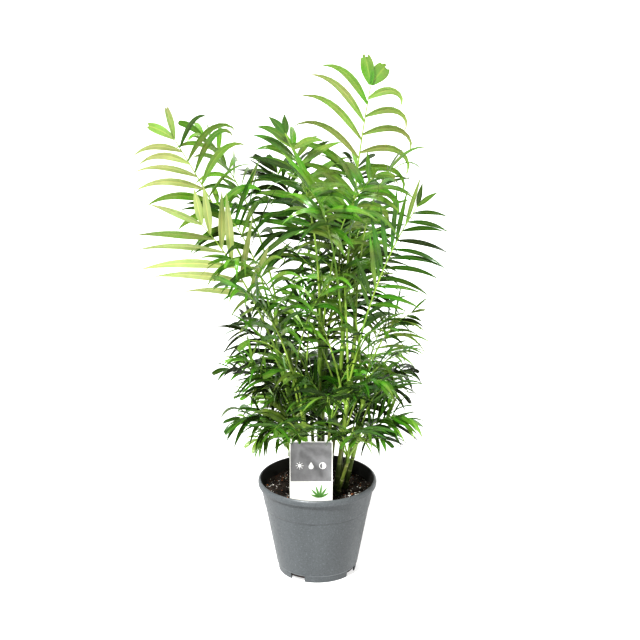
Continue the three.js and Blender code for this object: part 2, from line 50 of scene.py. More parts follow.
# -------- sizes that the source has too
POT = Sizes(
    height=140, rim=85, foot=56, wall=1.8, lip_height=9, lip_proud=3.6,
    ledge_height=100, ledge_proud=0.8, ring_height=10, ring_inset=0.9, ring_out=1.4,
    floor_height=3, floor_thickness=2.2, pad=17, sides=144,
    notches=4, notch_first=240, notch_width=23, notch_height=9, notch_depth=6,
)
SOIL_TOP = 124
CLEAR = 0.3  # between the pot and the soil, and between the soil and the canes
STEM_FOOT = SOIL_TOP + CLEAR
LABEL = Sizes(
    width=60, thickness=1, top=217, centre_x=-8.5, soil_y=-60, lean=5,
    tongue_width=26, tongue_depth=30, shoulder=4, corner=2,
)

# Each cane: its foot, its top, and how far it bows sideways between.
CANES = {
    "a": ((14, -2), (38, 10, 400), (4, 0)),
    "b": ((-14, 12), (-42, 22, 325), (6, 0)),
    "c": ((-20, -6), (-50, -16, 318), (6, 0)),
    "d": ((2, 10), (4, 14, 370), (0, 2)),
    "e": ((26, -12), (46, -28, 300), (0, 0)),
    "f": ((30, 12), (54, 30, 350), (0, 0)),
    "g": ((40, -2), (66, -8, 265), (2, 0)),
    "m": ((8, 30), (8, 56, 340), (0, 3)),
    "l": ((-6, -24), (-22, -42, 270), (0, 0)),
    "h": ((28, -28), (43, -42, 182), (0, 0)),
    "i": ((-18, -20), (-38, -38, 190), (0, 0)),
    "j": ((-22, 26), (-38, 46, 192), (0, 0)),
    "k": ((8, -34), (18, -36, 232), (0, 0)),
    "n": ((34, 30), (58, 48, 200), (0, 0)),
    "o": ((-4, 42), (-8, 70, 195), (0, 0)),
}
CANE = Sizes(foot=3.3, top=2.1, flare=1.35, flare_height=0.06)

# The frond at the top of each tall cane: the first nine fields of a Frond, and what else it has.
LEADING_FRONDS = [
    ("a", 35, 85, 77, 128, 176, 7, 106, -48,
     dict(skew=8, uneven=0.08, droop=0.6, hook=90, loose=0.1, fish=2.3, end=0.36)),
    ("b", 186, 66, 60, 222, 120, 6, 98, 66,
     dict(open=0.9, skew=6, droop=0.8, hook=40, loose=0.35, fish=1.4)),
    ("c", 188, 70, 50, 108, 124, 5, 118, 84,
     dict(open=0.7, skew=-4, uneven=0.2, hang=-0.5, droop=0.25, loose=0.2, fish=1.1, end=0.6)),
    ("d", 226, 88, 58, 132, 156, 6, 90, -10, dict(open=1.2, droop=0.6, loose=0.4, fish=1.2)),
    ("e", -5, 78, 58, 106, 160, 11, 86, -66,
     dict(open=0.75, skew=16, hang=0.5, droop=0.45, loose=0.3, broad=0.68, fish=1.2, tilt=-25)),
    ("f", -60, 88, 46, 160, 108, 6, 94, -30,
     dict(droop=1, hook=65, loose=0.4, broad=0.55, fish=1.1)),
    ("g", -15, 82, 32, 85, 66, 6, 66, -20, dict(droop=0.6, loose=0.6, broad=0.6)),
    ("l", 215, 78, 10, 70, 75, 5, 74, 30, dict(droop=1.0, loose=0.7, broad=0.65)),
    ("m", 120, 84, 50, 140, 130, 6, 90, 0, {}),
]

# The three older fronds of a tall cane, from the top down, and how much they differ by chance.
OLDER_FRONDS = [
    dict(h=0.905, rise=82, fall=34, petiole=135, blade=125, leaf=90, pairs=6, broad=0.95, droop=1),
    dict(h=0.775, rise=78, fall=22, petiole=92, blade=112, leaf=84, pairs=6, broad=0.75, droop=1.5),
    dict(h=0.555, rise=72, fall=12, petiole=72, blade=92, leaf=72, pairs=5, broad=0.78, droop=1.3),
]
OLDER_HABIT = dict(roll=0, power=2.2, loose=1, fish=1.4)
OLDER_SPREAD = dict(h=0.05, az=12, rise=8, fall=18, petiole=30, blade=22, leaf=8, droop=0.5,
                    roll=70)
# Their azimuths on each cane, and their share of the usual reach and breadth.
OLDER_SETS = {
    "a": ((-114, 62, 173), 1, 1),
    "b": ((150, -130, 40), 1.3, 0.9),
    "c": ((165, 14, 140), 1, 0.9),
    "d": ((-72, 85, -165), 1, 0.85),
    "e": ((105, 140, -20), 0.85, 0.65),
    "f": ((75, 165, -60), 1, 0.6),
    "g": ((120, 60, -48), 0.75, 0.7),
    "m": ((130, 55, 73), 1, 0.85),
    "l": ((-140, 60, 170), 0.85, 0.75),
}

# The tuft on each short shoot: its middle azimuth and its share of the usual reach.
TUFTS = dict(h=(25, 0.9), i=(150, 0.8), j=(135, 1.2), k=(-60, 1), n=(40, 1), o=(60, 1))
TUFT = Sizes(fronds=4, apart=72, sheath=12, sheath_foot=2.9, sheath_top=2.1, sunk=3)
TUFT_FROND = dict(rise=72, fall=-10, petiole=43, blade=76, pairs=5, leaf=63, droop=1.15, roll=0,
                  power=1.8, loose=0.8, broad=0.84, fish=1.3, slender=0.75, tuft=True)
TUFT_SPREAD = dict(az=24, rise=14, fall=24, petiole=26, blade=16, leaf=10, droop=0.5, roll=30)

RIB = Sizes(foot=1.9, tip=0.6, petiole_taper=0.4, steps=6)
SEAT = Sizes(gap=0.9, above=6, tip=2, start=0.999)
# How leaflets stand on the rib, reach out and bend, and how far along it each hand's are set.
LEAF = Sizes(
    splay_foot=66, splay_tip=42, splay_last=24, lift=12, used=0.985, steps=8,
    reach=0.72, swell=0.36, swell_power=0.8, tip_less=0.12, width=2.5, width_share=0.075,
    wider=1.15, sag_power=1.5, last_sag=0.5, hook_power=2.4, hook_uneven=0.5,
)
STAGGER = {-1: -0.05, 1: 0.25}
# How much each of these differs by chance in a strict frond, and how much more in a loose one.
LEAF_LUCK = dict(
    splay=(10, 16), place=(0, 0.3), lift=(0, 56), reach=(0.12, 0.24), sag=(0.4, 0.9), tilt=(20, 60)
)
# What the source tries until there is room: turns of a rib, each with a degree less rise, and
# shares of a leaflet's length and sag.
RIB_TURNS = [0, 7, -7, 14, -14, 21, -21, 30, -30, 40, -40]
BENDS = [(1, 1), (1, 0.4), (0.9, 1.8), (0.7, 0.7), (0.6, 1.6)]

# -------- how the finer mesh is drawn
SAME_PLACE = 0.5  # a point of the rule is in the frame if the frame has a vertex this near
CORNER_PIECES = 4
SOIL = Sizes(
    rows=46, crumb=9, heap=34, crumb_height=1.5, heap_height=1.6, lower=0.6,
    firm_from=60, firm_over=16, firmed=1.2, crumbs_within=3,
)
# Loose grains: count, least and greatest size, spread (the less, the nearer the edge), and paint.
GRAINS = {
    "soil_crumbs": (900, (1.0, 2.6), 0.5, ("crumbs", "#171310", "#57453a", 0.9)),
    "perlite": (420, (0.6, 1.8), 0.36, ("white_grains", "#c9c7c0", "#f1f0ec", 0.8)),
    "bark_bits": (150, (0.8, 2.3), 0.36, ("bark", "#5a3018", "#b4723c", 0.8)),
}
# A grain of size 1: its two ends, and the radius and height of the two rings between them.
GRAIN = Sizes(corners=5, ends=(-1, 0.9), rings=((0.85, -0.45), (0.95, 0.35)))
FINE_CANE = Sizes(sides=12, step=2.0, sunk=2.5)
LEAF_SCARS = Sizes(
    first=9, below_top=6, spacing=27, closest=0.7, widest=1.2, wander=10, proud=0.35, half=1.0
)
FINE_RIB = Sizes(rows=30, sides=8, squash=0.85)
SHEATH = Sizes(length=34, over=3, thickness=0.7, least=0.4, rows=8, sides=12, under=1)
FINE_LEAF = Sizes(
    rows=10, columns=(0, 0.55, 1), fold=20, unfolds=0.6, curl=0.16, twist=26, slim=0.94
)
# A leaflet runs out to a point, or in a last pair that is broad enough, to a blunt jagged end.
POINTED = Sizes(foot=0.24, broadest=0.4, power=1.12)
BLUNT = Sizes(foot=0.25, broadest=0.62, narrower=0.45, jag=0.25, fish=1.2)
# The least and most of how far over in its gap a tuft's younger frond is, how much lower, and its
# shares of the other's sizes.
SHOOT = dict(
    over=(0.35, 0.65), lower=(0, 10), petiole=(0.5, 1), blade=(0.7, 0.95), leaf=(0.75, 0.95)
)
SHOOT_PAIRS, SHOOT_SLIM, SHOOT_ID = 8, 0.9, 100
NO_SHOOTS = "k"  # the tuft that has no younger fronds
# Keys that keep the draws of chance apart.
SALT = Sizes(shade=31, stray=13, twist=17, jag=19, shoot=41, grain=11)


def chance(a, b=0, c=0, d=0):
    """A number from 0 to 1 that is always the same for the same keys."""
    x = sin(12.9898 * a + 78.233 * b + 37.719 * c + 4.581 * d) * 43758.5453
    return x - floor(x)


def lerp(a, b, t):
    return a + (b - a) * t


def clamp(x, low, high):
    return max(low, min(high, x))


def unit(v):
    return v / np.linalg.norm(v, axis=-1, keepdims=True)


def swing(a, b, degrees):
    """Direction a, turned that far towards direction b."""
    return a * cos(radians(degrees)) + b * sin(radians(degrees))


# -------- canes and fronds by the source's rule
def cane_point(name, h):
    foot, top, bow = CANES[name]
    straight = lerp(np.array([*foot, STEM_FOOT]), np.array(top), h)
    return straight + np.array([*bow, 0]) * sin(pi * h)


def cane_length(name):
    return float(np.linalg.norm(cane_point(name, 1) - cane_point(name, 0)))


def cane_radius(h):
    flare = 1 + (CANE.flare - 1) * clamp(1 - h / CANE.flare_height, 0, 1)
    return lerp(CANE.foot, CANE.top, h) * flare


@dataclass
class Frond:
    """A frond at share h of its cane's height, whose slope goes from rise to fall. open and skew
    spread its leaflets, uneven and hang set the hands apart, droop and hook bend them down, tilt
    leans them over, and loose is how much they differ. end and fish size the last pair."""

    cane: str
    az: float
    rise: float
    fall: float
    petiole: float
    blade: float
    pairs: int
    leaf: float
    roll: float = 0
    skew: float = 0
    open: float = 1
    uneven: float = 0
    hang: float = 0
    droop: float = 0.9
    power: float = 1.6
    hook: float = 0
    loose: float = 0.25
    broad: float = 1
    fish: float = 1.7
    end: float = 0.42
    tilt: float = 20
    h: float = 1
    tuft: bool = False
    slender: float = 1
    id: int = 0
    node: str = ""

    def seated(self):
        """Where the rib starts inside its cane, and where it is clear of the cane."""
        top = cane_point(self.cane, 1) + SEAT.tip * UP
        if self.tuft:
            return top, top + TUFT.sunk * UP
        if self.h == 1:
            return cane_point(self.cane, SEAT.start), top
        root = cane_point(self.cane, self.h)
        out = swing(EAST, NORTH, self.az)
        clear = cane_radius(self.h) + RIB.foot + SEAT.gap
        return root, root + out * clear + SEAT.above * UP


def varied(sizes, spread, group, k):
    """A frond of these sizes, each changed by chance by up to half its spread."""
    changed = {
        key: sizes[key] + extent * (chance(group, k, n) - 0.5)
        for n, (key, extent) in enumerate(spread.items())
    }
    return Frond(**{**sizes, **changed})


def older_fronds():
    for group, (cane, (azimuths, reach, width)) in enumerate(OLDER_SETS.items()):
        for k, older in enumerate(OLDER_FRONDS):
            wanted = {**OLDER_HABIT, **older, "cane": cane, "az": azimuths[k]}
            for key, share in (("petiole", reach), ("blade", reach), ("broad", width)):
                wanted[key] *= share
            yield varied(wanted, OLDER_SPREAD, group, k)


def tuft_fronds():
    for group, (cane, (middle, reach)) in enumerate(TUFTS.items(), len(OLDER_SETS)):
        lengths = {key: TUFT_FROND[key] * reach for key in ("petiole", "blade")}
        for k in range(TUFT.fronds):
            az = middle + (k - (TUFT.fronds - 1) / 2) * TUFT.apart
            wanted = {**TUFT_FROND, **lengths, "cane": cane, "az": az}
            yield varied(wanted, TUFT_SPREAD, group, k)


class Course:
    """The line of a frond's rib, and its directions at any share of its length."""

    def __init__(self, frond):
        self.frond = frond
        self.root, base = frond.seated()
        self.length = frond.petiole + frond.blade
        self.blade_start = frond.petiole / self.length
        self.across = swing(-NORTH, EAST, frond.az)
        steps = RIB.steps
        points = [base]
        for i in range(steps):
            points.append(points[i] + self.heading((i + 0.5) / steps) * self.length / steps)
        self.points = np.array(points)

    def heading(self, s):
        slope = lerp(self.frond.rise, self.frond.fall, s**self.frond.power)
        return swing(swing(EAST, NORTH, self.frond.az), UP, slope)

    def stretch(self, s):
        """Which stretch of the source's line s is on, and how far along it."""
        x = clamp(s * RIB.steps, 0, RIB.steps - 1e-9)
        return floor(x), x - floor(x)

    def corner_line(self, s):
        """The place on the source's own line."""
        i, f = self.stretch(s)
        return lerp(self.points[i], self.points[i + 1], f)

    def smooth_line(self, s):
        """The place on a smooth curve through the corners of that line."""
        i, f = self.stretch(s)
        b, c = self.points[i], self.points[i + 1]
        a = self.points[i - 1] if i > 0 else 2 * b - c
        d = self.points[i + 2] if i + 2 < len(self.points) else 2 * c - b
        bend = (2 * a - 5 * b + 4 * c - d) * f**2 + (3 * b - a - 3 * c + d) * f**3
        return 0.5 * (2 * b + (c - a) * f + bend)

    def axes(self, s):
        """The directions along the rib, across its blade, and out of the blade's face."""
        along = self.heading(s)
        normal = np.cross(self.across, along)
        side = swing(self.across, normal, self.frond.roll)
        return along, side, swing(normal, -self.across, self.frond.roll)


def leaflet_rule(course, k, hand, bend, steps, on_curve):
    """The line, edge direction and width of the leaflet on one hand of pair k."""
    frond = course.frond
    last = k == frond.pairs
    luck = {
        key: (steady + more * frond.loose) * (chance(frond.id, k, hand, n) - 0.5)
        for n, (key, (steady, more)) in enumerate(LEAF_LUCK.items())
    }
    u = 1 if last else clamp((k + STAGGER[hand] + luck["place"]) / frond.pairs, 0, 1)
    s = course.blade_start + (1 - course.blade_start) * u * LEAF.used
    along, side, face = course.axes(s)
    apart = frond.open * lerp(LEAF.splay_foot, LEAF.splay_tip, u)
    turned = LEAF.splay_last if last else apart
    splay = turned + luck["splay"] + (0 if last else hand * frond.skew)
    outwards = swing(side * hand, face, LEAF.lift + luck["lift"])
    heading = unit(swing(along, outwards, splay))
    swell = LEAF.swell * sin(pi * u ** LEAF.swell_power)
    share = frond.end if last else LEAF.reach + swell - LEAF.tip_less * u
    shorter, sagging = bend
    reach = frond.leaf * share * (1 + luck["reach"]) * (1 - frond.uneven * hand) * shorter
    eased = LEAF.last_sag if last else 1
    sag = frond.droop * (1 + luck["sag"]) * (1 + frond.hang * hand) * eased * sagging
    hook = 0 if last else radians(frond.hook * (1 + LEAF.hook_uneven * hand))
    flat = unit(np.cross(face, heading))
    edge = swing(flat, np.cross(heading, flat), frond.tilt * hand + luck["tilt"])
    line = [course.smooth_line(s) if on_curve else course.corner_line(s)]
    for j in range(steps):
        x = (j + 0.5) / steps
        step = unit(heading - UP * sag * x ** LEAF.sag_power)
        down = unit(step * step[2] - UP)
        turn = hook * x ** LEAF.hook_power
        step = step * cos(turn) + down * sin(turn)
        line.append(line[-1] + step * reach / steps)
    wider = frond.fish if last else LEAF.wider
    width = (LEAF.width + LEAF.width_share * frond.leaf) * frond.broad * wider
    return np.array(line), edge, width


# -------- reading the frame
def vertex_tree(node):
    """The vertices of a node of the frame, for looking up by place."""
    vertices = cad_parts[node].data.vertices
    tree = kdtree.KDTree(len(vertices))
    for i, vertex in enumerate(vertices):
        tree.insert(vertex.co / MM, i)
    tree.balance()
    return tree


def distance(tree, point):
    return tree.find(Vector(point))[2]


def as_in_frame(frond, tree):
    """The frond, turned and leant out as its rib in the frame is."""
    choices = [
        replace(frond, az=frond.az + turn, rise=frond.rise - tries)
        for tries, turn in enumerate(RIB_TURNS)
    ]
    return min(choices, key=lambda choice: distance(tree, Course(choice).points[-1]))


def bend_in_frame(course, k, hand, tree):
    """The bend that this leaflet has in the frame, or None where it found no room."""
    for bend in BENDS:
        line, _, _ = leaflet_rule(course, k, hand, bend, LEAF.steps, False)
        if distance(tree, line[-1]) < SAME_PLACE:
            return bend
    return None


# -------- joined meshes
def put_in_scene(name, data):
    made = bpy.data.objects.new(name, data)
    bpy.context.scene.collection.objects.link(made)
    return made


def neighbours(count):
    """Each place round a ring, with the next one."""
    return [(i, (i + 1) % count) for i in range(count)]


class Heap:
    """Vertices and faces for one mesh, each vertex with its shares across and along a strip."""

    def __init__(self):
        self.vertices, self.strips, self.faces, self.slots = [], [], [], []
        self.count = 0

    def add(self, vertices, faces, strips=None, slots=None):
        """More vertices, and faces that count from the first of them."""
        strips = np.zeros((len(vertices), 2)) if strips is None else strips
        self.vertices.append(np.asarray(vertices, float))
        self.strips.append(np.asarray(strips, float))
        self.faces.extend([self.count + i for i in face] for face in faces)
        self.slots.extend(slots or [0] * len(faces))
        self.count += len(vertices)

    def add_tube(self, centres, radii, sides, across, slots=None, squash=1.0):
        """A closed tube along a row of centres, with a radius and a material slot for each row."""
        centres, radii = np.asarray(centres, float), np.asarray(radii, float)
        rows = len(centres)
        slots = slots or [0] * rows
        tangent = unit(np.gradient(centres, axis=0))
        sideways = unit(across - tangent * np.sum(across * tangent, axis=1, keepdims=True))
        outwards = np.cross(sideways, tangent)
        turns = np.arange(sides) * 2 * pi / sides
        rings = (
            centres[:, None]
            + sideways[:, None] * (radii[:, None] * np.cos(turns))[..., None]
            + outwards[:, None] * (radii[:, None] * np.sin(turns) * squash)[..., None]
        )
        last = (rows - 1) * sides
        faces = [
            [row + n, row + i, row + sides + i, row + sides + n]
            for row in range(0, last, sides) for i, n in neighbours(sides)
        ]
        faces += [list(range(sides)), [last + i for i in reversed(range(sides))]]
        face_slots = np.repeat(slots[:-1], sides).tolist() + [slots[0], slots[-1]]
        around, along = np.meshgrid(np.arange(sides) / sides, np.linspace(0, 1, rows))
        strips = np.stack([around.ravel(), along.ravel()], axis=1)
        self.add(rings.reshape(-1, 3), faces, strips, face_slots)

    def lathe(self, profile, sides, slots=None):
        """A surface of revolution. A profile point on the axis becomes one vertex."""
        slots = slots or [0] * len(profile)
        rows, vertices, faces = [], [], []
        for r, z in profile:
            turns = [0] if r < 1e-6 else [2 * pi * i / sides for i in range(sides)]
            rows.append([len(vertices) + i for i in range(len(turns))])
            vertices += [(r * cos(a), r * sin(a), z) for a in turns]
        for low, high in zip(rows, rows[1:]):
            for i, n in neighbours(sides):
                corners = (low, i), (low, n), (high, n), (high, i)
                faces.append(list(dict.fromkeys(row[at % len(row)] for row, at in corners)))
        self.add(vertices, faces, slots=np.repeat(slots[:-1], sides).tolist())

    def shape(self, name, scale=MM, smooth=False):
        mesh = bpy.data.meshes.new(name)
        mesh.from_pydata((np.concatenate(self.vertices) * scale).tolist(), [], self.faces)
        mesh.polygons.foreach_set("use_smooth", [smooth] * len(mesh.polygons))
        return put_in_scene(name, mesh)

    def piece(self, name, materials, slot, *nodes, smooth=True):
        """The mesh as a piece that rides on the plant and replaces those nodes."""
        made = self.shape(name, smooth=smooth)
        mesh = made.data
        mesh.polygons.foreach_set("material_index", self.slots)
        corner_vertices = np.zeros(len(mesh.loops), int)
        mesh.loops.foreach_get("vertex_index", corner_vertices)
        strips = np.concatenate(self.strips)[corner_vertices]
        mesh.uv_layers.new(name="strip").data.foreach_set("uv", strips.ravel())
        for material in materials:
            mesh.materials.append(material)
        mesh.update()
        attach(made, "root")
        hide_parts(*nodes)
        return made


# -------- materials
MIX_A, MIX_B, MIX_RESULT = 6, 7, 2  # the colour sockets of a Mix node
# How a leaflet's red, green and blue change in a vivid and in an olive patch, and by a factor and a
# rise in its midrib.
VIVID = (-0.38, 0.08, -0.5)
OLIVE = (0.28, -0.07, 0.2)
YELLOWER = ((1.7, 0.04), (1.25, 0.04), (1.25, 0.01))


def colour(code):
    """A colour for a shader, from its usual six-figure sRGB code."""
    parts = [int(code[i : i + 2], 16) / 255 for i in (1, 3, 5)]
    return tuple(c / 12.92 if c <= 0.04045 else ((c + 0.055) / 1.055) ** 2.4 for c in parts)


def times(rgb, factor):
    return tuple(clamp(c * factor, 0, 1) for c in rgb)


class Paint:
    """One material and the wiring of its nodes."""

    def __init__(self, name):
        self.material = bpy.data.materials.new(name)
        self.material.use_nodes = True
        self.tree = self.material.node_tree
        self.shader = self.tree.nodes["Principled BSDF"]

    def feed(self, socket, value):
        """Set a socket to a value, or link it to the socket that gives one."""
        if isinstance(value, bpy.types.NodeSocket):
            self.tree.links.new(value, socket)
        else:
            socket.default_value = value

    def set(self, **values):
        """The shader's own inputs, by their names with _ for a space."""
        for key, value in values.items():
            self.feed(self.shader.inputs[key.replace("_", " ")], value)

    def node(self, kind, inputs=None, **settings):
        made = self.tree.nodes.new("ShaderNode" + kind)
        for key, value in settings.items():
            setattr(made, key, value)
        for key, value in (inputs or {}).items():
            self.feed(made.inputs[key], value)
        return made

    def place(self):
        return self.node("TexCoord").outputs["Object"]

    def strip(self):
        """Across and along the strip that the face lies on."""
        uv = self.node("UVMap", uv_map="strip").outputs["UV"]
        parts = self.node("SeparateXYZ", {"Vector": uv})
        return parts.outputs["X"], parts.outputs["Y"]

    def noise(self, scale, detail, roughness=0.5, stretch=(1, 1, 1)):
        """Noise with about that many waves in a metre."""
        place = self.node("Mapping", {"Vector": self.place(), "Scale": stretch}).outputs["Vector"]
        inputs = {"Vector": place, "Scale": scale, "Detail": detail, "Roughness": roughness}
        return self.node("TexNoise", inputs).outputs["Fac"]

    def math(self, operation, a, b=0.0):
        return self.node("Math", {0: a, 1: b}, operation=operation).outputs[0]

    def band(self, value, low, high, out_low=0.0, out_high=1.0):
        """value, spread from low to high over the other range."""
        ends = {"From Min": low, "From Max": high, "To Min": out_low, "To Max": out_high}
        return self.node("MapRange", {"Value": value, **ends}, clamp=True).outputs["Result"]

    def spread(self, field, out_low=0.0, out_high=1.0):
        """A noise, from its own usual range to that one."""
        return self.band(field, 0.3, 0.7, out_low, out_high)

    def line_at(self, height, reach):
        """1 at that height on the piece, falling to 0 at reach above and below it."""
        level = self.node("SeparateXYZ", {"Vector": self.place()}).outputs["Z"]
        off = self.math("ABSOLUTE", self.math("SUBTRACT", level, height * MM))
        return self.band(off, reach * MM, 0)

    def mix(self, factor, a, b):
        """Colour a where the factor is 0, and colour b where it is 1."""
        a, b = (c if isinstance(c, bpy.types.NodeSocket) else (*c, 1) for c in (a, b))
        inputs = {"Factor": factor, MIX_A: a, MIX_B: b}
        return self.node("Mix", inputs, data_type="RGBA").outputs[MIX_RESULT]

    def layers(self, body, layers):
        """A body with named layers over it, each a share and a tint."""
        for share, tint in layers.values():
            body = self.mix(share, body, tint)
        return body

    def skin(self, body, grain, least, most, relief, depth, strength):
        """The colour, the roughness by a grain, and a relief so many mm deep, on the material."""
        inputs = {"Height": relief, "Distance": depth * MM, "Strength": strength}
        normal = self.node("Bump", inputs).outputs["Normal"]
        self.set(Base_Color=body, Roughness=self.spread(grain, least, most), Normal=normal)
        return self.material


def leaf_paint(name, rgb, gloss, wax, swing):
    """A leaflet in vivid and olive patches, with fine veins, that lets some light through."""
    paint = Paint(name)
    across, along = paint.strip()
    vivid, olive = (
        [part * (1 + swing * share) for part, share in zip(rgb, way)] for way in (VIVID, OLIVE)
    )
    patch = paint.band(paint.noise(24, 2), 0.36, 0.64)
    dull, lit = (paint.mix(patch, times(vivid, tint), times(olive, tint)) for tint in (0.82, 1.16))
    veins = paint.math("SINE", paint.math("MULTIPLY", across, 88))
    from_rib = paint.math("ABSOLUTE", paint.math("SUBTRACT", across, 0.5))
    yellow = [min(1, part * more + rise) for part, (more, rise) in zip(rgb, YELLOWER)]
    body = paint.layers(paint.mix(paint.spread(paint.noise(38, 3)), dull, lit), {
        "veins": (paint.band(veins, -1, 1, 0, 0.16), times(rgb, 0.6)),
        "midrib": (paint.band(from_rib, 0.075, 0.02, 0, 0.55), yellow),
        "dry tip": (paint.band(along, 0.9, 1, 0, 0.7), times(yellow, 0.38)),
    })
    ridges = paint.math("ADD", paint.math("MULTIPLY", veins, 0.5), paint.noise(260, 2))
    paint.skin(body, paint.noise(90, 2), gloss - 0.07, gloss + 0.1, ridges, 0.12, 0.5)
    paint.set(Coat_Weight=wax, Coat_Roughness=0.1)
    through = paint.node("BsdfTranslucent", {"Color": paint.mix(0.6, body, yellow)}).outputs[0]
    both = paint.node("MixShader", {0: 0.22, 1: paint.shader.outputs[0], 2: through}).outputs[0]
    paint.feed(paint.tree.nodes["Material Output"].inputs["Surface"], both)
    return paint.material


def stalk_paint(name, rgb, second, gloss, foot=None):
    """A rib, sheath or cane: fine fibres along it, patches of a second tint, and, where a foot
    colour is given, darker towards its foot: aged tissue there, with painted shade at the base.
    """
    paint = Paint(name)
    fibres = paint.noise(420, 3, 0.6, (1, 1, 0.05))
    patches = paint.band(paint.noise(30, 3, 0.5, (1, 1, 0.4)), 0.35, 0.65)
    body = paint.mix(patches, rgb, second)
    if foot:
        # Darker towards the foot: aged tissue with painted shade at the base.
        body = paint.mix(paint.band(paint.strip()[1], 0.6, 0.08, 0, 0.85), body, foot)
    body = paint.mix(paint.band(fibres, 0.35, 0.7, 0, 0.35), body, times(rgb, 0.55))
    return paint.skin(body, fibres, gloss - 0.06, gloss + 0.14, fibres, 0.25, 0.6)


def pot_paint(name, rgb, speckle, gloss):
    """Moulded plastic: specks, faint streaks up the wall from the moulding with painted sheen, a
    painted highlight along the foot ring's step, painted shade under the ledge, and an uneven skin.
    """
    paint = Paint(name)
    # Faint streaks up the wall: marks of the moulding, with painted sheen.
    flow_and_sheen = paint.spread(paint.noise(26, 3, 0.5, (1, 1, 0.12)))
    # A noise that breaks up the painted highlight on the ring step and the painted shade under the
    # ledge.
    light_line_breakup = paint.band(paint.noise(45, 3), 0.35, 0.6, 0.2, 0.8)

    def painted_light_line(height, reach):
        return paint.math("MULTIPLY", paint.line_at(height, reach), light_line_breakup)

    body = paint.layers(paint.mix(flow_and_sheen, times(rgb, 0.92), times(rgb, 1.08)), {
        "flecks": (paint.band(paint.noise(430, 3, 0.7), 0.5, 0.36, 0, speckle), times(rgb, 0.6)),
        "specks": (paint.band(paint.noise(560, 2, 0.6), 0.56, 0.7, 0, speckle), times(rgb, 1.9)),
        # A pale line just above the foot ring's step: painted highlight where that ridge catches
        # the light.
        "painted ring highlight": (painted_light_line(POT.ring_height + 0.6, 1.3), times(rgb, 2.4)),
        # A dark line just under the ledge: painted shade beneath its overhang.
        "shaded ledge": (painted_light_line(POT.ledge_height - 0.5, 1.4), times(rgb, 0.45)),
    })
    relief = paint.math("ADD", paint.noise(700, 2), paint.noise(60, 2))
    return paint.skin(body, paint.noise(240, 3), gloss - 0.05, gloss + 0.09, relief, 0.12, 0.35)


def crumb_paint(name, code, second, gloss, grain=300):
    """Peat, bark or perlite: two tints in fine grains, rough all over."""
    paint = Paint(name)
    grains = paint.noise(grain, 5, 0.65)
    body = paint.mix(paint.band(grains, 0.38, 0.66), colour(code), colour(second))
    return paint.skin(body, grains, gloss, gloss - 0.25, grains, 1.2, 0.9)


def card_paint(name, rgb, cloud, gloss):
    """Printed card: soft mottling and a faint paper tooth."""
    paint = Paint(name)
    mottle = paint.spread(paint.noise(70, 4, 0.6))
    body = paint.mix(mottle, times(rgb, 1 - cloud), times(rgb, 1 + cloud))
    tooth = paint.noise(1200, 2)
    return paint.skin(body, paint.noise(900, 2), gloss - 0.05, gloss + 0.08, tooth, 0.05, 0.2)


# -------- pot
WALL_FOOT = POT.foot + POT.ring_out + POT.ring_inset
WALL_TOP = POT.rim - POT.lip_proud
LIP_FOOT = POT.height - POT.lip_height
FLOOR_TOP = POT.floor_height + POT.floor_thickness
BOX_FACES = [[0, 1, 3, 2], [4, 6, 7, 5], [0, 4, 5, 1], [2, 3, 7, 6], [0, 2, 6, 4], [1, 5, 7, 3]]


def wall_radius(height):
    up = (height - POT.ring_height) / (LIP_FOOT - POT.ring_height)
    return lerp(WALL_FOOT, WALL_TOP, up)


def inner_radius(height):
    return wall_radius(height) - POT.wall


def rounded(corners):
    """A profile whose corners, each [radius, height, rounding], are turned into short arcs."""
    points = []
    for i, (r, z, rounding) in enumerate(corners):
        here = np.array([r, z], float)
        if rounding == 0:
            points.append(here)
            continue
        start, end = (
            here + unit(other - here) * min(rounding, np.linalg.norm(other - here) * 0.45)
            for other in (np.array(corners[i + way][:2], float) for way in (-1, 1))
        )
        for n in range(CORNER_PIECES + 1):
            t = n / CORNER_PIECES
            points.append(start * (1 - t) ** 2 + here * 2 * t * (1 - t) + end * t**2)
    return points


def build_pot():
    ledge = wall_radius(POT.ledge_height)
    profile = rounded([
        (0, 0, 0),
        (POT.pad, 0, 0.6),
        (POT.pad, POT.floor_height, 0.6),
        (POT.foot - POT.wall, POT.floor_height, 0.6),
        (POT.foot - POT.wall, 0, 0.5),
        (POT.foot, 0, 0.8),
        (WALL_FOOT - POT.ring_inset, POT.ring_height, 0.4),
        (WALL_FOOT, POT.ring_height + 0.8, 0.8),
        (ledge - POT.ledge_proud, POT.ledge_height, 0.4),
        (ledge, POT.ledge_height + 1.2, 0.8),
        (WALL_TOP, LIP_FOOT, 1.2),
        (POT.rim - 0.6, LIP_FOOT, 0.9),
        (POT.rim, POT.height - 3.4, 3.0),
        (POT.rim - 2.2, POT.height, 1.6),
        (WALL_TOP - 0.4, POT.height, 1.2),
        (inner_radius(LIP_FOOT), LIP_FOOT, 0.8),
        (inner_radius(FLOOR_TOP), FLOOR_TOP, 2.0),
        (0, FLOOR_TOP, 0),
    ])
    # Grey outside and over the rim's top, black from three rows further in.
    radii, heights = np.transpose(profile)
    grey_rows = np.argmax(heights - 0.001 * abs(radii - WALL_TOP)) + 3
    heap = Heap()
    heap.lathe(profile, POT.sides, [int(j >= grey_rows) for j in range(len(profile))])
    grey = pot_paint("pot_grey", colour("#505456"), 0.5, 0.42)
    black = pot_paint("pot_black", colour("#353432"), 0.2, 0.5)
    cut_notches(heap.piece("pot_shell", [grey, black], "pot", "pot"))


